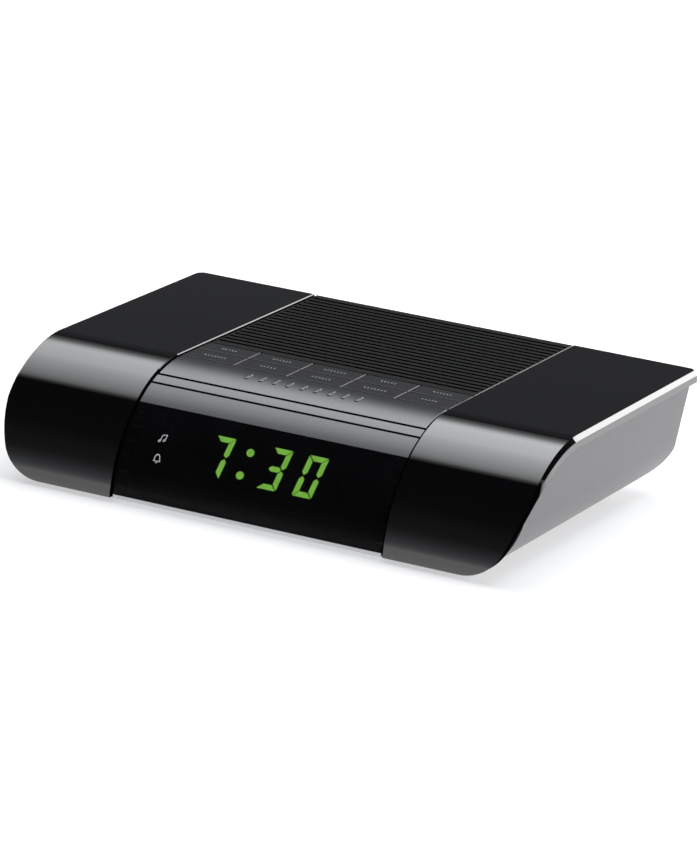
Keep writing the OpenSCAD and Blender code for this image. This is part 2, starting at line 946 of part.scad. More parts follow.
module lit_segments() {
    color("#7fd04c")
        on_curve(view_angle) {
            for (digit = [0:3], i = [0:6])
                if (is_lit(digit, i))
                    segment(digit, i);
            for (side = [-1, 1])
                translate(slanted([0, side * colon_rise]) + [colon_x, 0])
                    translate([0, 0, module_face])
                        cylinder(h = seg_t, r = colon_r);
        }
}

module dark_segments() {
    color("#23301f")
        on_curve(view_angle)
            for (digit = [0:3], i = [0:6])
                if (!is_lit(digit, i))
                    segment(digit, i);
}

module display_board() {
    color("#1f6b3a")
        on_curve(view_angle)
            difference() {
                box([-display_half, -display_rise, module_back - board_t],
                    [display_half, display_rise, module_back]);
                for (side = [-1, 1])
                    translate([side * (display_half - 4), 0, 0])
                        cylinder(h = big, r = 1.5);
            }
}

// A flat cable along points (y, z), with round bends
module ribbon(points, x0, x1, t) {
    across(x0, x1) {
        for (i = [0:len(points) - 2]) {
            step = points[i + 1] - points[i];
            translate(points[i])
                rotate(atan2(step[1], step[0]))
                    translate([0, -t / 2])
                        square([norm(step), t]);
        }
        for (i = [1:len(points) - 2])
            translate(points[i])
                circle(t / 2);
    }
}

module display_ribbon() {
    color("#9a9b9d")
        ribbon([[-58.3, 12.4], [-50, 12.2], [-34, 12.2], [-24, 11], [-14, 10.75]], 39.5, 50, 0.9);
}

module key_ribbon() {
    color("#9a9b9d")
        ribbon([[-20, 29.95], [-10, 29.95], [-5, 27], [-5, 13], [-3, 10.75], [4, 10.75]], 38, 50, 0.9);
}

module main_board() {
    color("#1f6b3a")
        difference() {
            box([main_x[0], main_y[0], main_low], [main_x[1], main_y[1], main_top]);
            for (p = main_screws_at)
                translate([p[0], p[1], 0])
                    cylinder(h = big, r = 1.5);
        }
}

module tuner_can() {
    color("silver")
        difference() {
            box([50, 20, main_top], [78, 40, main_top + 9]);
            for (i = [0:2])
                translate([56 + 8 * i, 30, main_top + 8.4])
                    cylinder(h = 2, r = 1.6);
        }
}

// Capacitors, a chip and a crystal on the main board
module board_parts() {
    color("#2b3a55")
        for (p = [[56, -8, 5, 15], [69, -8, 4, 12], [79, -4, 3.2, 11], [42, 14, 4, 12]])
            translate([p[0], p[1], main_top])
                cylinder(h = p[3], r = p[2]);
    color("#18191a") {
        box([52, 5, main_top], [76, 13, main_top + 3.6]);
        box([38, 26, main_top], [46, 38, main_top + 3]);
    }
}

module main_board_screws() {
    color("silver")
        for (p = main_screws_at)
            translate([p[0], p[1], main_top])
                mirror([0, 0, 1])
                    screw(2.4, 1.6, screw_r, 4.6);
}

function speaker_screw_at(i) = [spk_screw_r * sin(120 * i), spk_y - spk_screw_r * cos(120 * i), 0];

// Pressed basket: flange, cone-shaped wall with four windows, and a floor for the magnet
module speaker_basket() {
    top = cab_under;
    color("#7c7e80")
        translate([0, spk_y, 0])
            difference() {
                rotate_extrude()
                    polygon([[spk_flange_r, top], [spk_flange_r, top - 1.2], [spk_open_r + 1.4, top - 1.2],
                        [16.4, 23], [7.6, 23], [7.6, 24.2], [15.6, 24.2], [spk_open_r, top - 0.6],
                        [spk_open_r, top]]);
                for (a = [0:90:270])
                    rotate(a + 45)
                        box([14, -7, 25.5], [40, 7, 33]);
            }
}

module speaker_magnet() {
    color("#4a4b4d")
        translate([0, spk_y, 0])
            rotate_extrude()
                polygon([[0, 10], [14, 10], [14, 12.5], [16, 12.5], [16, 20.5], [14, 20.5], [14, 23],
                    [7.8, 23], [7.8, 13], [5.9, 13], [5.9, 23], [0, 23]]);
}

// Paper cone with its roll surround, dust cap and voice-coil former
module speaker_cone() {
    color("#232324")
        translate([0, spk_y, 0])
            rotate_extrude()
                polygon([[6.4, 17], [7.2, 17], [7.2, 29.4], [23.2, 36.6], [24, 37.2], [24.8, 37.2],
                    [24.8, 37.9], [23.4, 37.9], [22.6, 37.2], [8, 30.6], [5, 32], [0, 32.6],
                    [0, 31.8], [4.6, 31.2], [6.4, 30.2]]);
}

module speaker_screws() {
    color("silver")
        for (i = [0:2])
            translate(speaker_screw_at(i))
                translate([0, 0, cab_under - 1.2])
                    screw(4.2, 1.4, screw_r, 2.8);
}

// Laminated core with two windows
module transformer_core() {
    color("#8a8a86")
        translate([xfmr_at[0], xfmr_at[1], xfmr_low])
            difference() {
                translate([-xfmr_size[0] / 2, -xfmr_size[1] / 2, 0])
                    cube(xfmr_size);
                for (s = [-1, 1])
                    box([s * 9.25 - 3.25, -9, -1], [s * 9.25 + 3.25, 9, xfmr_size[2] + 1]);
                for (s = [-1, 1])
                    translate([s * xfmr_screw[0], s * xfmr_screw[1], -1])
                        cylinder(h = big, r = 1.7);
            }
}

// Winding on its bobbin round the core's middle leg
module transformer_bobbin() {
    leg = 6;
    color("#b5803a")
        translate([xfmr_at[0], xfmr_at[1], xfmr_low])
            difference() {
                box([-12.2, -8.7, -3.6], [12.2, 8.7, xfmr_size[2] + 3.6]);
                box([-leg - 0.15, -10, -0.15], [leg + 0.15, 10, xfmr_size[2] + 0.15]);
            }
}

module transformer_screws() {
    color("silver")
        for (s = [-1, 1])
            translate([xfmr_at[0] + s * xfmr_screw[0], xfmr_at[1] + s * xfmr_screw[1],
                xfmr_low + xfmr_size[2]])
                mirror([0, 0, 1])
                    screw(2.6, 1.8, 1.4, 17);
}

left_wing();
right_wing();
upper_cabinet();
speaker_grille();
brow_strip();
display_lens();
lens_trim();
snooze_bar();
for (col = [1:key_cols])
    key_cap(row_rear, col);
for (col = [1:key_cols])
    key_cap(row_front, col);
lower_tub();
battery_door();
battery_contacts();
rubber_feet();
case_screws();
cord_gland();
aerial_gland();
key_board();
tact_switches();
key_board_screws();
led_module();
lit_segments();
dark_segments();
display_board();
display_ribbon();
key_ribbon();
main_board();
tuner_can();
board_parts();
main_board_screws();
speaker_basket();
speaker_magnet();
speaker_cone();
speaker_screws();
transformer_core();
transformer_bobbin();
transformer_screws();
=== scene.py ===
"""Looks of a low clock radio with a waterfall front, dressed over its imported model.

The pieces made here are thin printed or moulded marks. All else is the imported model
with its finishes.
"""

import math

import bmesh
import bpy
from mathutils import Matrix, Vector


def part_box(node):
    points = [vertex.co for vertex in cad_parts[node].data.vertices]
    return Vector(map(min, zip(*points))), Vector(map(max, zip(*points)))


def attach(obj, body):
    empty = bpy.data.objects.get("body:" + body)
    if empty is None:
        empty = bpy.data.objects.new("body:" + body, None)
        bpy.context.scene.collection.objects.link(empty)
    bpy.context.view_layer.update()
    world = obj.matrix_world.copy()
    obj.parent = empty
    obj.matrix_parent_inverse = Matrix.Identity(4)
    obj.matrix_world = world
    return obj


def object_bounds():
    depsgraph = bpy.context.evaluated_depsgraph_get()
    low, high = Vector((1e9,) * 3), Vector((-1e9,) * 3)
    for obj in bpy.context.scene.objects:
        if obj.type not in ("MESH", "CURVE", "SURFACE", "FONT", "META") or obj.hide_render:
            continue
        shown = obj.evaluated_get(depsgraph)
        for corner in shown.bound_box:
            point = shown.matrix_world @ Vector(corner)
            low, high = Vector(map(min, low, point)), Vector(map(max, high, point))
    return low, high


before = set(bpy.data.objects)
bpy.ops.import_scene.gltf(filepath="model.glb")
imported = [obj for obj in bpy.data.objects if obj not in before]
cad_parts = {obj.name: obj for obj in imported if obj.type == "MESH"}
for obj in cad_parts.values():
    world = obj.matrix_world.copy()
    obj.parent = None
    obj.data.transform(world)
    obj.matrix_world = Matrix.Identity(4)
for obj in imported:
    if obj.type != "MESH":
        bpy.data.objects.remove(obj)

bl_info = {
    "name": "Clock Radio Looks",
    "version": (1, 0, 0),
    "blender": (4, 5, 0),
    "location": "View3D > Sidebar > Clock Radio",
    "description": "Finishes, printed marks and studio for a clock radio",
    "category": "Object",
}

CAD_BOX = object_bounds()
CABINET = "cabinet"
KEYS = [f"key_{row}_{col}" for row in ("rear", "front") for col in range(1, 6)]
SCREWS = [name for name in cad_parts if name.endswith("_screws")]
MM = 0.001
WHITE = (1, 1, 1)

# The waterfall front: an arc whose axis runs along X under the top
WING_LOW, WING_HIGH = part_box("left_wing")
FRONT_RADIUS = 46.5 * MM
CURVE_Z = WING_HIGH.z - FRONT_RADIUS
FLAP_END = math.acos((WING_LOW.z - CURVE_Z) / FRONT_RADIUS)
CURVE_Y = WING_LOW.y + FRONT_RADIUS * math.sin(FLAP_END)
STRIP_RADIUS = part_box("speaker_grille")[1].z - CURVE_Z

# Colours of the pieces inside and underneath; a pair is for stripes
PLASTIC_BLACK = (0.012, 0.012, 0.013)
SEGMENT_DARK = (0.0016, 0.002, 0.0016)
MODULE_BLACK = (0.0012, 0.0012, 0.0013)
RUBBER_BLACK = (0.014, 0.014, 0.015)
ZINC = (0.56, 0.56, 0.58)
NICKEL = (0.70, 0.69, 0.66)
BOARD_GREEN = (0.012, 0.11, 0.04)
SWITCH_BLACK = (0.02, 0.02, 0.021)
TIN = (0.62, 0.62, 0.60)
PART_BLUES = ((0.02, 0.035, 0.09), (0.03, 0.05, 0.12))
RIBBON_GREYS = ((0.35, 0.35, 0.37), (0.2, 0.2, 0.21))
STEEL = (0.42, 0.42, 0.43)
FERRITE = (0.045, 0.045, 0.047)
PAPER_PULP = (0.01, 0.01, 0.0105)
LAMINATION_GREYS = ((0.26, 0.25, 0.24), (0.12, 0.12, 0.12))
TAPE_AMBERS = ((0.42, 0.20, 0.05), (0.30, 0.13, 0.03))

# How much of the view the lens covers, and how strongly the clock is lit behind it
LENS_COVER = 0.75
LIT_LEVEL = 7.4

# Painted shade on the flap's edge: its reflection is taken away by how far sideways it faces and
# how far forward it lies
FULL_SHINE = 0.5
SHADED_EDGE_FACING = (0.5, 0.62)
SHADED_EDGE_FORWARD = (-50 * MM, -58 * MM)

# The bevels beside the strip face the middle, so their X times their sideways facing is negative;
# their reflection is dulled there as painted shade
BEVEL_INWARD = (-10 * MM, -30 * MM)
BEVEL_PAINTED_SHADE = 0.42


class RadioSizes(bpy.types.PropertyGroup):
    """Sizes of the marks that are printed or moulded on the radio"""

    tick_length: bpy.props.FloatProperty(
        name="Key tick length", description="Length of one raised tick on a key",
        default=1.5 * MM, min=0.5 * MM, max=3 * MM, unit="LENGTH")
    tick_width: bpy.props.FloatProperty(
        name="Key tick width", description="Width of one raised tick on a key",
        default=0.55 * MM, min=0.2 * MM, max=1 * MM, unit="LENGTH")
    tick_pitch: bpy.props.FloatProperty(
        name="Key tick pitch", description="Spacing of the ticks on a key",
        default=1.35 * MM, min=0.8 * MM, max=2 * MM, unit="LENGTH")
    tick_rise: bpy.props.FloatProperty(
        name="Key tick rise", description="Height of a tick above the key",
        default=0.12 * MM, min=0.05 * MM, max=0.3 * MM, unit="LENGTH")
    pip_length: bpy.props.FloatProperty(
        name="Snooze pip length", description="Length of one grip pip across the snooze bar",
        default=4.6 * MM, min=2 * MM, max=6 * MM, unit="LENGTH")
    pip_width: bpy.props.FloatProperty(
        name="Snooze pip width", description="Width of one grip pip on the snooze bar",
        default=2.1 * MM, min=0.8 * MM, max=3 * MM, unit="LENGTH")
    pip_pitch: bpy.props.FloatProperty(
        name="Snooze pip pitch", description="Spacing of the grip pips",
        default=5.6 * MM, min=3 * MM, max=8 * MM, unit="LENGTH")
    pip_rise: bpy.props.FloatProperty(
        name="Snooze pip rise", description="Height of a grip pip above the snooze bar",
        default=0.35 * MM, min=0.1 * MM, max=0.6 * MM, unit="LENGTH")
    print_line: bpy.props.FloatProperty(
        name="Print line", description="Width of the printed lines of the lens marks",
        default=0.34 * MM, min=0.1 * MM, max=0.6 * MM, unit="LENGTH")


def colour(name, description, value):
    """A colour property with its default"""
    return bpy.props.FloatVectorProperty(
        name=name, description=description, default=value, min=0, max=1, size=3, subtype="COLOR")


class RadioColours(bpy.types.PropertyGroup):
    """Base colours of the radio's visible finishes"""

    gloss: colour("Gloss black", "Polished wings", (0.0012, 0.0013, 0.0017))
    lacquer: colour("Satin lacquer", "Brow strip and snooze bar", (0.094, 0.096, 0.100))
    grille: colour("Grille black", "Loudspeaker grille", (0.002, 0.0021, 0.0024))
    keys: colour("Key black", "Tops of the keys", (0.005, 0.0053, 0.0064))
    tub: colour("Tub grey", "Lower tub and battery door", (0.128, 0.128, 0.131))
    lens: colour("Smoked lens", "Front of the display", (0.004, 0.004, 0.0048))
    trim: colour("Silver trim", "Line under the display", (0.42, 0.427, 0.434))
    glow: colour("Lit green", "Lit segments of the clock", (0.37, 0.91, 0.117))
    print: colour("Print white", "Marks printed on the lens", (0.82, 0.83, 0.84))
    mark: colour("Key mark grey", "Raised ticks on the keys", (0.10, 0.105, 0.115))


class RadioStudio(bpy.types.PropertyGroup):
    """Level of the studio lights"""

    overhead: bpy.props.FloatProperty(
        name="Overhead level", description="Radiance of the overhead softbox",
        default=4.0, min=0, max=10)
    side: bpy.props.FloatProperty(
        name="Side level", description="Radiance of the softbox at the right",
        default=3.2, min=0, max=10)
    rear: bpy.props.FloatProperty(
        name="Rear level", description="Radiance of the softbox behind at the right",
        default=6.2, min=0, max=12)


class RadioLooks(bpy.types.PropertyGroup):
    """All that a user would change"""

    sizes: bpy.props.PointerProperty(type=RadioSizes)
    colours: bpy.props.PointerProperty(type=RadioColours)
    studio: bpy.props.PointerProperty(type=RadioStudio)


def looks():
    """The settings on the current scene"""
    return bpy.context.scene.radio_looks


def scaled(base, factor):
    """A colour made lighter or darker"""
    return tuple(min(1.0, channel * factor) for channel in base)


class Nodes:
    """A node tree under construction"""

    def __init__(self, block):
        block.use_nodes = True
        self.tree = block.node_tree

    def node(self, kind, **values):
        """Adds a node, with inputs given by name"""
        node = self.tree.nodes.new(kind)
        for name, value in values.items():
            node.inputs[name].default_value = value
        return node

    def link(self, source, target):
        """Joins an output to an input"""
        self.tree.links.new(source, target)

    def coordinates(self, kind):
        """Object or generated coordinates"""
        return self.node("ShaderNodeTexCoord").outputs[kind]

    def axes(self, vector):
        """The X, Y and Z of a vector"""
        node = self.node("ShaderNodeSeparateXYZ")
        self.link(vector, node.inputs[0])
        return node.outputs

    def worked_out(self, operation, *values):
        """The result of an operation on outputs or plain numbers"""
        node = self.node("ShaderNodeMath")
        node.operation = operation
        for socket, value in zip(node.inputs, values):
            if isinstance(value, bpy.types.NodeSocket):
                self.link(value, socket)
            else:
                socket.default_value = value
        return node.outputs[0]

    def spread(self, value, low, high, start=0.3, end=0.7):
        """A value between start and end, carried to a range from low to high"""
        limits = {"From Min": start, "From Max": end, "To Min": low, "To Max": high}
        node = self.node("ShaderNodeMapRange", **limits)
        self.link(value, node.inputs["Value"])
        return node.outputs["Result"]

    def ramp(self, value, stops, tint):
        """A ramp of one tint, from places and levels"""
        node = self.node("ShaderNodeValToRGB")
        made = node.color_ramp.elements
        made[0].color = (*scaled(tint, stops[0][1]), 1)
        made[1].color = (*scaled(tint, stops[-1][1]), 1)
        for place, level in stops[1:-1]:
            made.new(place).color = (*scaled(tint, level), 1)
        self.link(value, node.inputs["Fac"])
        return node.outputs["Color"]


class Finish(Nodes):
    """A material under construction: a principled shader with patterns in metres"""

    def __init__(self, name, base, roughness, metallic=0.0, ior=1.5):
        self.material = bpy.data.materials.new(name)
        super().__init__(self.material)
        self.shader = self.tree.nodes["Principled BSDF"]
        self.base = base
        self.set("Base Color", (*base, 1))
        self.set("Roughness", roughness)
        self.set("Metallic", metallic)
        self.set("IOR", ior)
        self.place = self.coordinates("Object")

    def set(self, socket, value):
        """Sets one of the shader's own sockets"""
        self.shader.inputs[socket].default_value = value

    def stretched(self, scale):
        """The object's own coordinates, scaled by axis"""
        mapping = self.node("ShaderNodeMapping", Scale=scale)
        self.link(self.place, mapping.inputs["Vector"])
        return mapping.outputs["Vector"]

    def noise(self, scale, detail=3.0, stretch=None):
        """A noise pattern with a scale in waves per metre"""
        node = self.node("ShaderNodeTexNoise", Scale=scale, Detail=detail)
        self.link(self.stretched(stretch) if stretch else self.place, node.inputs["Vector"])
        return node.outputs["Fac"]

    def cells(self, scale):
        """A cell pattern with a scale in cells per metre"""
        node = self.node("ShaderNodeTexVoronoi", Scale=scale)
        self.link(self.place, node.inputs["Vector"])
        return node.outputs["Distance"]

    def waves(self, scale, direction, distortion):
        """Parallel bands across an axis"""
        node = self.node("ShaderNodeTexWave", Scale=scale, Distortion=distortion)
        node.bands_direction = direction
        self.link(self.place, node.inputs["Vector"])
        return node.outputs["Fac"]

    def roughen(self, pattern, low, high):
        """Roughness that wanders between two values"""
        self.link(self.spread(pattern, low, high), self.shader.inputs["Roughness"])

    def wander(self, socket, factor, *ends):
        """A colour that wanders between two, on one of the shader's own sockets"""
        mix = self.node("ShaderNodeMix")
        mix.data_type = "RGBA"
        self.link(factor, mix.inputs["Factor"])
        for target, end in zip([put for put in mix.inputs if put.type == "RGBA"], ends):
            target.default_value = (*end, 1)
        result = next(out for out in mix.outputs if out.type == "RGBA")
        self.link(result, self.shader.inputs[socket])

    def tint(self, pattern, second, start=0.3, end=0.7):
        """Colour that wanders between the base and a second colour"""
        self.wander("Base Color", self.spread(pattern, 0, 1, start, end), self.base, second)

    def bump(self, pattern, height, strength):
        """Relief of a height in metres"""
        node = self.node("ShaderNodeBump", Strength=strength, Distance=height)
        self.link(pattern, node.inputs["Height"])
        self.link(node.outputs["Normal"], self.shader.inputs["Normal"])

    def on(self, *names):
        """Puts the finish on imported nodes"""
        for name in names:
            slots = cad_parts[name].data.materials
            slots.clear()
            slots.append(self.material)


def wing_shine_with_painted_shade(made):
    """Specular level with painted shade: none on the flap's edge towards the front, less on the
    bevels beside the strip
    """
    facing = made.axes(made.node("ShaderNodeNewGeometry").outputs["Normal"])["X"]
    place = made.axes(made.place)
    sideways = made.spread(made.worked_out("ABSOLUTE", facing), 0, 1, *SHADED_EDGE_FACING)
    forward = made.spread(place["Y"], 0, 1, *SHADED_EDGE_FORWARD)
    # painted shade: the flap's edge towards the front loses its reflection
    edge = made.worked_out("MULTIPLY", sideways, forward)
    inward = made.worked_out("MULTIPLY", facing, place["X"])
    # painted shade: the bevels beside the strip lose part of their reflection
    painted_bevel_shade = made.spread(inward, 0, BEVEL_PAINTED_SHADE, *BEVEL_INWARD)
    return made.spread(made.worked_out("MAXIMUM", edge, painted_bevel_shade), FULL_SHINE, 0, 0, 1)


def polished(name, base):
    """Polished black plastic with faint wipe marks, and painted shade on the flap's edge and the
    bevels beside the strip
    """
    made = Finish(name, base, roughness=0.035, ior=1.8)
    made.roughen(made.noise(26, detail=5, stretch=(1, 0.35, 1)), 0.02, 0.05)
    made.tint(made.noise(60, detail=4), scaled(base, 1.25))
    made.link(wing_shine_with_painted_shade(made), made.shader.inputs["Specular IOR Level"])
    return made


def satin(name, base, roughness, ior=1.5, metallic=0.0):
    """Fine satin lacquer or spark-eroded plastic"""
    made = Finish(name, base, roughness, metallic, ior)
    made.roughen(made.noise(900, detail=4), roughness - 0.02, roughness + 0.02)
    made.tint(made.noise(1400), scaled(base, 1.06))
    made.bump(made.noise(5200), height=0.004 * MM, strength=0.3)
    return made


def moulded(name, base, roughness=0.5):
    """Moulded plastic with a leather-like grain"""
    made = Finish(name, base, roughness)
    made.roughen(made.noise(500, detail=4), roughness - 0.02, roughness + 0.03)
    made.tint(made.noise(120, detail=5), scaled(base, 1.03))
    made.bump(made.cells(1700), height=0.006 * MM, strength=0.2)
    return made


def metal(name, base, roughness, stretch=(1, 1, 1)):
    """Plated or rolled metal with fine streaks along one axis"""
    made = Finish(name, base, roughness, metallic=1.0)
    made.roughen(made.noise(900, 4, stretch), roughness * 0.7, roughness * 1.35)
    made.tint(made.noise(240, 5, stretch), scaled(base, 0.86))
    made.bump(made.noise(2600, 3, stretch), height=0.004 * MM, strength=0.5)
    return made


def rubbery(name, base):
    """Dull rubber with a dusty bloom"""
    made = Finish(name, base, roughness=0.82)
    made.tint(made.noise(420, detail=6), scaled(base, 1.9))
    made.bump(made.noise(2600, detail=4), height=0.02 * MM, strength=0.6)
    return made


def circuit(name, base):
    """Lacquered circuit board with tracks under the lacquer"""
    made = Finish(name, base, roughness=0.32)
    tracks = made.waves(140, "X", distortion=9.0)
    made.tint(tracks, scaled(base, 1.7), start=0.55, end=0.6)
    made.bump(tracks, height=0.03 * MM, strength=0.4)
    return made


def striped(name, colours, scale, direction, roughness, metallic=0.0):
    """Layers, turns or wires that lie side by side"""
    base, second = colours
    made = Finish(name, base, roughness, metallic)
    stripes = made.waves(scale, direction, distortion=0.4)
    made.tint(stripes, second)
    made.bump(stripes, height=0.06 * MM, strength=0.7)
    return made


def fibrous(name, base):
    """Pressed paper pulp"""
    made = Finish(name, base, roughness=0.9)
    made.tint(made.noise(2200, detail=6, stretch=(1, 1, 0.3)), scaled(base, 2.2))
    made.bump(made.noise(3200, detail=5), height=0.03 * MM, strength=0.8)
    return made


def glowing(name, base, level):
    """A diffuser that is lit from behind, a little unevenly"""
    made = Finish(name, base, roughness=0.5)
    made.set("Emission Strength", level)
    unevenness = made.spread(made.noise(420, detail=2), 0, 1)
    made.wander("Emission Color", unevenness, scaled(base, 0.82), base)
    return made


def smoked(name, base):
    """Smoked lens: dark, polished and faintly clear"""
    made = Finish(name, base, roughness=0.06, ior=1.18)
    made.set("Alpha", LENS_COVER)
    made.roughen(made.noise(30, detail=4, stretch=(1, 0.4, 1)), 0.05, 0.08)
    made.tint(made.noise(80), scaled(base, 1.4))
    return made


def on_curve(x, angle, lift):
    """A point on the strip's front curve; the angle starts at the top"""
    radius = STRIP_RADIUS + lift
    return Vector((x, CURVE_Y - radius * math.sin(angle), CURVE_Z + radius * math.cos(angle)))


def finished_mesh(name, mesh):
    """Turns a bmesh into mesh data with its faces pointing out"""
    bmesh.ops.recalc_face_normals(mesh, faces=mesh.faces)
    data = bpy.data.meshes.new(name)
    mesh.to_mesh(data)
    mesh.free()
    return data


def add_piece(name, mesh, body, material):
    """Links a bmesh as a piece of the radio that rides on a body"""
    data = finished_mesh(name, mesh)
    piece = bpy.data.objects.new(name, data)
    bpy.context.scene.collection.objects.link(piece)
    data.materials.append(material)
    for polygon in data.polygons:
        polygon.use_smooth = True
    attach(piece, body)


# A pill's rings from foot to top: inset as a share of half its width, height of its rise
PILL_RINGS = ((0.0, -0.6), (0.0, 0.25), (0.12, 0.7), (0.34, 0.94), (0.6, 1.0))
PILL_STEPS = 8


def pill(mesh, place, length, width, rise):
    """Adds a raised pill with a soft edge. place maps (along, across, up) to a point"""
    straight = length / 2 - width / 2
    rings = []
    for inset, height in PILL_RINGS:
        radius = width / 2 * (1 - inset)
        ring = []
        for end in (1, -1):
            for step in range(PILL_STEPS + 1):
                turn = math.pi * (step / PILL_STEPS - 0.5)
                along = end * (straight + radius * math.cos(turn))
                across = end * radius * math.sin(turn)
                ring.append(mesh.verts.new(place(along, across, rise * height)))
        rings.append(ring)
    count = len(rings[0])
    for lower, upper in zip(rings, rings[1:]):
        for i in range(count):
            j = (i + 1) % count
            mesh.faces.new((lower[i], lower[j], upper[j], upper[i]))
    mesh.faces.new(rings[-1])
    mesh.faces.new(list(reversed(rings[0])))


class RADIO_OT_wings(bpy.types.Operator):
    """Polish the two gloss wings"""

    bl_idname = "radio.wings"
    bl_label = "Gloss Wings"

    def execute(self, context):
        polished("polished_black", looks().colours.gloss).on("left_wing", "right_wing")
        return {"FINISHED"}


class RADIO_OT_strip(bpy.types.Operator):
    """Give the centre strip, snooze bar and keys their satin finish"""

    bl_idname = "radio.strip"
    bl_label = "Satin Strip and Keys"

    def execute(self, context):
        colours = looks().colours
        satin("satin_lacquer", colours.lacquer, 0.30, metallic=1.0).on("brow_strip", "snooze_bar")
        satin("grille_black", colours.grille, 0.30, ior=1.36).on("speaker_grille")
        satin("satin_keys", colours.keys, 0.36, ior=1.38).on(*KEYS)
        moulded("cabinet_black", PLASTIC_BLACK).on("upper_cabinet")
        return {"FINISHED"}


class RADIO_OT_display(bpy.types.Operator):
    """Finish the lens, its trim and the lit clock behind it"""

    bl_idname = "radio.display"
    bl_label = "Display"

    def execute(self, context):
        colours = looks().colours
        smoked("smoked_lens", colours.lens).on("display_lens")
        metal("silver_trim", colours.trim, 0.16, stretch=(0.05, 1, 1)).on("lens_trim")
        glowing("lit_green", colours.glow, LIT_LEVEL).on("lit_segments")
        moulded("dark_green", SEGMENT_DARK).on("dark_segments")
        moulded("module_black", MODULE_BLACK, 0.8).on("led_module")
        return {"FINISHED"}


class RADIO_OT_lower_case(bpy.types.Operator):
    """Finish the tub, battery door, feet, bushes and screws"""

    bl_idname = "radio.lower_case"
    bl_label = "Lower Case"

    def execute(self, context):
        moulded("tub_grey", looks().colours.tub, 0.46).on("lower_tub", "battery_door")
        rubbery("foot_rubber", RUBBER_BLACK).on("rubber_feet")
        moulded("bush_black", PLASTIC_BLACK).on("cord_gland", "aerial_gland")
        metal("screw_zinc", ZINC, 0.3).on(*SCREWS)
        metal("spring_nickel", NICKEL, 0.22, stretch=(1, 1, 0.1)).on("battery_contacts")
        return {"FINISHED"}


class RADIO_OT_electronics(bpy.types.Operator):
    """Finish the circuit boards, their parts and the flat cables"""

    bl_idname = "radio.electronics"
    bl_label = "Electronics"

    def execute(self, context):
        circuit("board_green", BOARD_GREEN).on("key_board", "display_board", "main_board")
        moulded("switch_black", SWITCH_BLACK).on("tact_switches")
        metal("can_tin", TIN, 0.28, stretch=(1, 0.1, 1)).on("tuner_can")
        striped("part_blue", PART_BLUES, 60, "Z", 0.35).on("board_parts")
        striped("ribbon_grey", RIBBON_GREYS, 250, "X", 0.55).on("display_ribbon", "key_ribbon")
        return {"FINISHED"}


class RADIO_OT_loudspeaker(bpy.types.Operator):
    """Finish the loudspeaker"""

    bl_idname = "radio.loudspeaker"
    bl_label = "Loudspeaker"

    def execute(self, context):
        metal("basket_steel", STEEL, 0.35).on("speaker_basket")
        moulded("magnet_ferrite", FERRITE, 0.6).on("speaker_magnet")
        fibrous("cone_paper", PAPER_PULP).on("speaker_cone")
        return {"FINISHED"}


class RADIO_OT_transformer(bpy.types.Operator):
    """Finish the mains transformer"""

    bl_idname = "radio.transformer"
    bl_label = "Transformer"

    def execute(self, context):
        striped("core_laminations", LAMINATION_GREYS, 320, "Z", 0.4, 0.8).on("transformer_core")
        striped("winding_tape", TAPE_AMBERS, 90, "Z", 0.5).on("transformer_bobbin")
        return {"FINISHED"}


# Ticks on a key: the count steps up from key to key and starts again
FEWEST_TICKS = 5
TICK_COUNTS = 3


class RADIO_OT_key_marks(bpy.types.Operator):
    """Raise a row of generic ticks on each key"""

    bl_idname = "radio.key_marks"
    bl_label = "Key Marks"

    def execute(self, context):
        sizes = looks().sizes
        finish = satin("mark_grey", looks().colours.mark, 0.42).material
        for number, key in enumerate(KEYS):
            low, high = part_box(key)
            centre = Vector(((low.x + high.x) / 2, (low.y + high.y) / 2, high.z))
            count = FEWEST_TICKS + number % TICK_COUNTS
            mesh = bmesh.new()
            for tick in range(count):
                offset = (tick - (count - 1) / 2) * sizes.tick_pitch
                pill(mesh, lambda u, v, w: centre + Vector((offset + v, u, w)),
                     sizes.tick_length, sizes.tick_width, sizes.tick_rise)
            add_piece(f"{key}_mark", mesh, key, finish)
        return {"FINISHED"}


GRIP_ANGLE = math.radians(8.5)
GRIP_PIPS = 9


class RADIO_OT_snooze_grip(bpy.types.Operator):
    """Raise a row of grip pips on the snooze bar"""

    bl_idname = "radio.snooze_grip"
    bl_label = "Snooze Grip"

    def execute(self, context):
        sizes = looks().sizes
        finish = bpy.data.materials["satin_lacquer"]
        mesh = bmesh.new()
        for pip in range(GRIP_PIPS):
            x = (pip - (GRIP_PIPS - 1) / 2) * sizes.pip_pitch
            pill(mesh, lambda u, v, w: on_curve(x + v, GRIP_ANGLE + u / STRIP_RADIUS, w),
                 sizes.pip_length, sizes.pip_width, sizes.pip_rise)
        add_piece("snooze_grip", mesh, "snooze_bar", finish)
        return {"FINISHED"}


# Section of a line of print: which side of the line, and height above the lens
PRINT_RISE = 0.02 * MM
PRINT_SINK = -0.05 * MM
PRINT_SECTION = ((1, PRINT_SINK), (1, PRINT_RISE), (-1, PRINT_RISE), (-1, PRINT_SINK))


def printed_line(mesh, points, width, closed=False):
    """Adds a flat line of print along points on the lens, given as (x, angle)"""
    count = len(points)
    rows = []
    for i, (x, angle) in enumerate(points):
        before = points[i - 1] if i > 0 or closed else points[i]
        after = points[(i + 1) % count] if i < count - 1 or closed else points[i]
        along = Vector((after[0] - before[0], (after[1] - before[1]) * STRIP_RADIUS)).normalized()
        side = Vector((-along.y, along.x)) * width / 2
        row = []
        for reach, lift in PRINT_SECTION:
            row.append(mesh.verts.new(
                on_curve(x + reach * side.x, angle + reach * side.y / STRIP_RADIUS, lift)))
        rows.append(row)
    corners = len(PRINT_SECTION)
    last = count if closed else count - 1
    for i in range(last):
        first, second = rows[i], rows[(i + 1) % count]
        for k in range(corners):
            j = (k + 1) % corners
            mesh.faces.new((first[k], first[j], second[j], second[k]))
    if not closed:
        mesh.faces.new(rows[0])
        mesh.faces.new(list(reversed(rows[-1])))


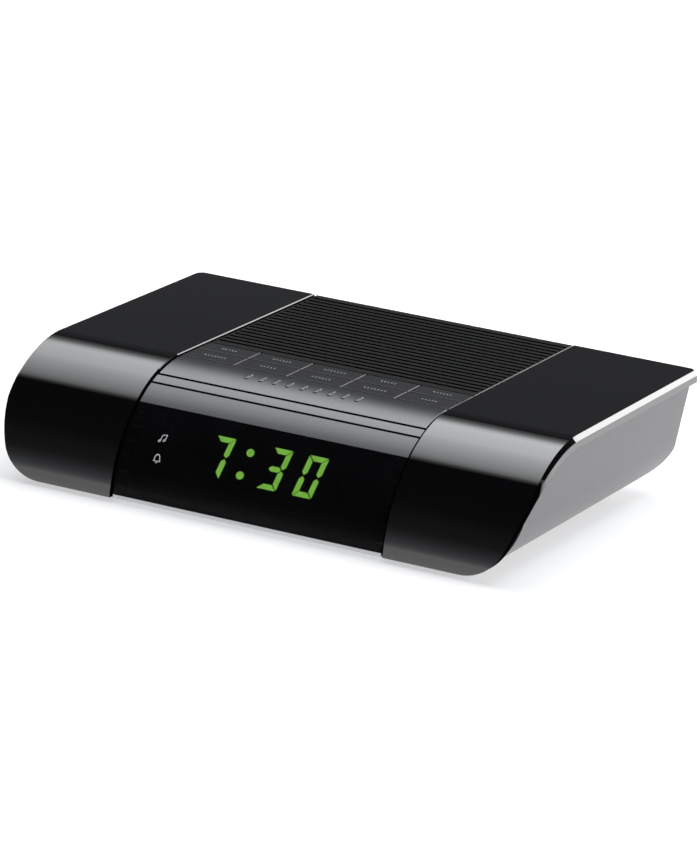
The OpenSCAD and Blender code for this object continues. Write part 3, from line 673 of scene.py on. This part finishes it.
def ellipse(centre, wide, tall, tilt, steps=20):
    """Points of an ellipse on the lens"""
    points = []
    for step in range(steps):
        turn = math.tau * step / steps
        u = wide * math.cos(turn)
        v = tall * math.sin(turn)
        across = u * math.cos(tilt) - v * math.sin(tilt)
        up = u * math.sin(tilt) + v * math.cos(tilt)
        points.append((centre[0] + across, centre[1] - up / STRIP_RADIUS))
    return points


def lens_points(centre, points):
    """Turns (right, up) points in millimetres round a centre into points on the lens"""
    return [(centre[0] + u * MM, centre[1] - v * MM / STRIP_RADIUS) for u, v in points]


# The marks on the lens: each centre by X and angle, and its points in millimetres round that
NOTE_AT = (-39.35 * MM, math.radians(54.9))
NOTE_HEADS = ((-0.95, -1.2), (0.85, -0.85))
NOTE_STEMS = ((-0.6, -1.1), (-0.3, 1.05), (1.5, 1.4), (1.2, -0.75))
HEAD_WIDE = 0.42 * MM
HEAD_TALL = 0.3 * MM
HEAD_TILT = 0.5
HEAD_LINE = 0.3 * MM
BELL_AT = (-39.1 * MM, math.radians(64.4))
BELL_SIDE = [(-1.5, -1.0), (-1.15, -0.7), (-1.0, 0.2), (-0.8, 0.9), (-0.35, 1.35)]
BELL_TOP = (0, 1.5)
BELL_CLAPPER = ((-0.4, -1.4), (0, -1.65), (0.4, -1.4))


class RADIO_OT_lens_marks(bpy.types.Operator):
    """Print a plain note and a plain bell on the lens"""

    bl_idname = "radio.lens_marks"
    bl_label = "Lens Marks"

    def execute(self, context):
        width = looks().sizes.print_line
        finish = moulded("print_white", looks().colours.print, 0.6).material
        note = bmesh.new()
        for spot in lens_points(NOTE_AT, NOTE_HEADS):
            printed_line(note, ellipse(spot, HEAD_WIDE, HEAD_TALL, HEAD_TILT), HEAD_LINE, True)
        printed_line(note, lens_points(NOTE_AT, NOTE_STEMS), width)
        add_piece("note_mark", note, CABINET, finish)
        bell = bmesh.new()
        right = [(-u, v) for u, v in reversed(BELL_SIDE)]
        printed_line(bell, lens_points(BELL_AT, BELL_SIDE + [BELL_TOP] + right), width, True)
        printed_line(bell, lens_points(BELL_AT, BELL_CLAPPER), width)
        add_piece("bell_mark", bell, CABINET, finish)
        return {"FINISHED"}


CAMERA_AT = Vector((0.7663, -1.5310, 0.5387))
CAMERA_TURN = math.radians(26.54)
CAMERA_DROP = math.radians(16.81)
CAMERA_ROLL = math.radians(3.59)
CAMERA_LENS = 207.05
SENSOR_WIDTH = 36

# The floor glows for the camera, and more strongly with distance from the radio in metres
FLOOR_REACH = 9.0
FLOOR_GREY = (0.56, 0.56, 0.56)
FLOOR_TINT = (0.98, 0.985, 1)
FLOOR_LEVELS = (0.52, 1)
FLOOR_DISTANCE = (0.6, 2.6)

# Level of the floor in reflections, by metres in front of the radio
FLOOR_FALL = ((0.0, 1.0), (0.006, 0.9), (0.011, 0.74), (0.02, 0.6), (0.035, 0.52), (1.0, 0.52))

# The overhead softbox: its level from left to right, and from front to rear
OVERHEAD_AT = Vector((-0.35, 0.37, 0.956))
OVERHEAD_TILT = math.radians(21.3)
OVERHEAD_SIZE = (1.9, 1.373)
OVERHEAD_TINT = (0.97, 0.985, 1.0)
OVERHEAD_LEVELS = (0.85, 1.15)
OVERHEAD_ACROSS = (0.30, 0.52)
OVERHEAD_FALL = (
    (0.0, 0.0), (0.024, 0.04), (0.056, 0.12), (0.087, 0.3), (0.151, 0.475), (0.27, 0.64),
    (0.381, 0.76), (0.484, 0.91), (0.595, 0.89), (0.706, 0.87), (0.77, 0.65), (0.825, 0.3),
    (0.889, 0.11), (0.96, 0.04), (1.0, 0.0))

# The lamps at the right and behind
SIDE_AT = Vector((1.15, -0.05, 0.42))
SIDE_AIM = Vector((0, 0, 0.03))
SIDE_SIZE = (1.0, 0.8)
REAR_AT = Vector((0.35, 1.25, 0.385))
REAR_AIM = REAR_AT - Vector((0, 1, 0))
REAR_SIZE = (1.0, 0.73)

# Level of the room, from the horizon to straight up
ROOM_TINT = (0.93, 0.95, 1.0)
ROOM_FALL = (
    (0.0, 0.84), (0.02, 0.63), (0.056, 0.43), (0.16, 0.2), (0.27, 0.085), (0.45, 0.06),
    (0.57, 0.03), (1.0, 0.015))


class StageShader(Nodes):
    """The emptied node tree of a material or world, with its output"""

    def __init__(self, block):
        super().__init__(block)
        self.tree.nodes.clear()
        world = isinstance(block, bpy.types.World)
        output = self.node("ShaderNodeOutputWorld" if world else "ShaderNodeOutputMaterial")
        self.surface = output.inputs["Surface"]


def floor_material():
    """A pale floor that keeps its shadow and glows for the camera and in reflections"""
    made = bpy.data.materials.new("pale_floor")
    nodes = StageShader(made)
    path = nodes.node("ShaderNodeLightPath").outputs
    place = nodes.coordinates("Object")
    away = nodes.node("ShaderNodeVectorMath")
    away.operation = "LENGTH"
    nodes.link(place, away.inputs[0])
    far = nodes.spread(away.outputs["Value"], *FLOOR_LEVELS, *FLOOR_DISTANCE)
    seen = nodes.worked_out("MAXIMUM", path["Is Camera Ray"], path["Is Transmission Ray"])
    direct = nodes.worked_out("MULTIPLY", seen, far)
    ahead = nodes.worked_out("SUBTRACT", CAD_BOX[0].y, nodes.axes(place)["Y"])
    near = nodes.ramp(ahead, FLOOR_FALL, WHITE)
    mirrored = nodes.worked_out("MULTIPLY", near, path["Is Glossy Ray"])
    matt = nodes.node("ShaderNodeBsdfDiffuse", Color=(*FLOOR_GREY, 1))
    glow = nodes.node("ShaderNodeEmission", Color=(*FLOOR_TINT, 1))
    nodes.link(nodes.worked_out("MAXIMUM", direct, mirrored), glow.inputs["Strength"])
    both = nodes.node("ShaderNodeAddShader")
    nodes.link(matt.outputs[0], both.inputs[0])
    nodes.link(glow.outputs[0], both.inputs[1])
    nodes.link(both.outputs[0], nodes.surface)
    return made


def softbox_material(level):
    """A softbox with soft front and rear edges that is brighter at its right"""
    made = bpy.data.materials.new("softbox")
    nodes = StageShader(made)
    place = nodes.axes(nodes.coordinates("Generated"))
    across = nodes.spread(place["X"], *OVERHEAD_LEVELS, *OVERHEAD_ACROSS)
    depth = nodes.ramp(place["Y"], OVERHEAD_FALL, WHITE)
    share = nodes.worked_out("MULTIPLY", across, depth)
    glow = nodes.node("ShaderNodeEmission", Color=(*OVERHEAD_TINT, 1))
    nodes.link(nodes.worked_out("MULTIPLY", share, level), glow.inputs["Strength"])
    nodes.link(glow.outputs[0], nodes.surface)
    return made


def studio_world():
    """A dim room with a pale horizon"""
    world = bpy.data.worlds.new("studio")
    bpy.context.scene.world = world
    nodes = StageShader(world)
    up = nodes.axes(nodes.coordinates("Generated"))["Z"]
    glow = nodes.node("ShaderNodeBackground")
    nodes.link(nodes.ramp(up, ROOM_FALL, ROOM_TINT), glow.inputs["Color"])
    nodes.link(glow.outputs[0], nodes.surface)


def sheet(name, size, material):
    """A flat rectangle of stage"""
    data = bpy.data.meshes.new(name)
    x, y = size[0] / 2, size[1] / 2
    data.from_pydata([(-x, -y, 0), (x, -y, 0), (x, y, 0), (-x, y, 0)], [], [(0, 1, 2, 3)])
    data.materials.append(material)
    made = bpy.data.objects.new(name, data)
    bpy.context.scene.collection.objects.link(made)
    return made


def softbox_lamp(name, place, aim, size, radiance):
    """A rectangular lamp of a radiance, turned to a point"""
    data = bpy.data.lights.new(name, "AREA")
    data.shape = "RECTANGLE"
    data.size, data.size_y = size
    data.energy = radiance * math.pi * size[0] * size[1]
    lamp = bpy.data.objects.new(name, data)
    lamp.location = place
    lamp.rotation_mode = "QUATERNION"
    lamp.rotation_quaternion = (aim - place).to_track_quat("-Z", "Y")
    lamp.visible_camera = False
    bpy.context.scene.collection.objects.link(lamp)


def studio_camera():
    """The camera, turned about the upright, tipped down and rolled"""
    data = bpy.data.cameras.new("camera")
    data.lens = CAMERA_LENS
    data.sensor_width = SENSOR_WIDTH
    camera = bpy.data.objects.new("camera", data)
    camera.location = CAMERA_AT
    turn = Matrix.Rotation(CAMERA_TURN, 4, "Z")
    tip = Matrix.Rotation(math.pi / 2 - CAMERA_DROP, 4, "X")
    roll = Matrix.Rotation(CAMERA_ROLL, 4, "Z")
    camera.rotation_euler = (turn @ tip @ roll).to_euler()
    bpy.context.scene.collection.objects.link(camera)
    return camera


class RADIO_OT_stage(bpy.types.Operator):
    """Set up the pale floor, the softboxes and the camera"""

    bl_idname = "radio.stage"
    bl_label = "Stage"

    def execute(self, context):
        scene = context.scene
        scene.view_settings.view_transform = "Standard"
        studio = looks().studio
        sheet("studio_floor", (FLOOR_REACH * 2, FLOOR_REACH * 2), floor_material())
        box = sheet("overhead_softbox", OVERHEAD_SIZE, softbox_material(studio.overhead))
        box.location = OVERHEAD_AT
        box.rotation_euler = (-OVERHEAD_TILT, 0, 0)
        box.visible_camera = False
        softbox_lamp("right_softbox", SIDE_AT, SIDE_AIM, SIDE_SIZE, studio.side)
        softbox_lamp("rear_softbox", REAR_AT, REAR_AIM, REAR_SIZE, studio.rear)
        studio_world()
        scene.camera = studio_camera()
        return {"FINISHED"}


STEPS = (
    RADIO_OT_wings, RADIO_OT_strip, RADIO_OT_display, RADIO_OT_lower_case, RADIO_OT_electronics,
    RADIO_OT_loudspeaker, RADIO_OT_transformer, RADIO_OT_key_marks, RADIO_OT_snooze_grip,
    RADIO_OT_lens_marks, RADIO_OT_stage,
)


class RADIO_PT_panel(bpy.types.Panel):
    """Lists the steps and the settings"""

    bl_idname = "RADIO_PT_panel"
    bl_label = "Clock Radio"
    bl_space_type = "VIEW_3D"
    bl_region_type = "UI"
    bl_category = "Clock Radio"

    def draw(self, context):
        for step in STEPS:
            self.layout.operator(step.bl_idname)
        settings = context.scene.radio_looks
        for group in (settings.sizes, settings.colours, settings.studio):
            box = self.layout.box()
            for name in group.__annotations__:
                box.prop(group, name)


CLASSES = (RadioSizes, RadioColours, RadioStudio, RadioLooks, *STEPS, RADIO_PT_panel)


def register():
    """Registers the classes and the settings"""
    for kind in CLASSES:
        bpy.utils.register_class(kind)
    bpy.types.Scene.radio_looks = bpy.props.PointerProperty(type=RadioLooks)


def unregister():
    """Takes the classes and the settings out again"""
    del bpy.types.Scene.radio_looks
    for kind in reversed(CLASSES):
        bpy.utils.unregister_class(kind)


def main():
    """Dresses the radio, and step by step"""
    register()
    for step in STEPS:
        group, name = step.bl_idname.split(".")
        getattr(getattr(bpy.ops, group), name)()


if __name__ == "__main__":
    main()
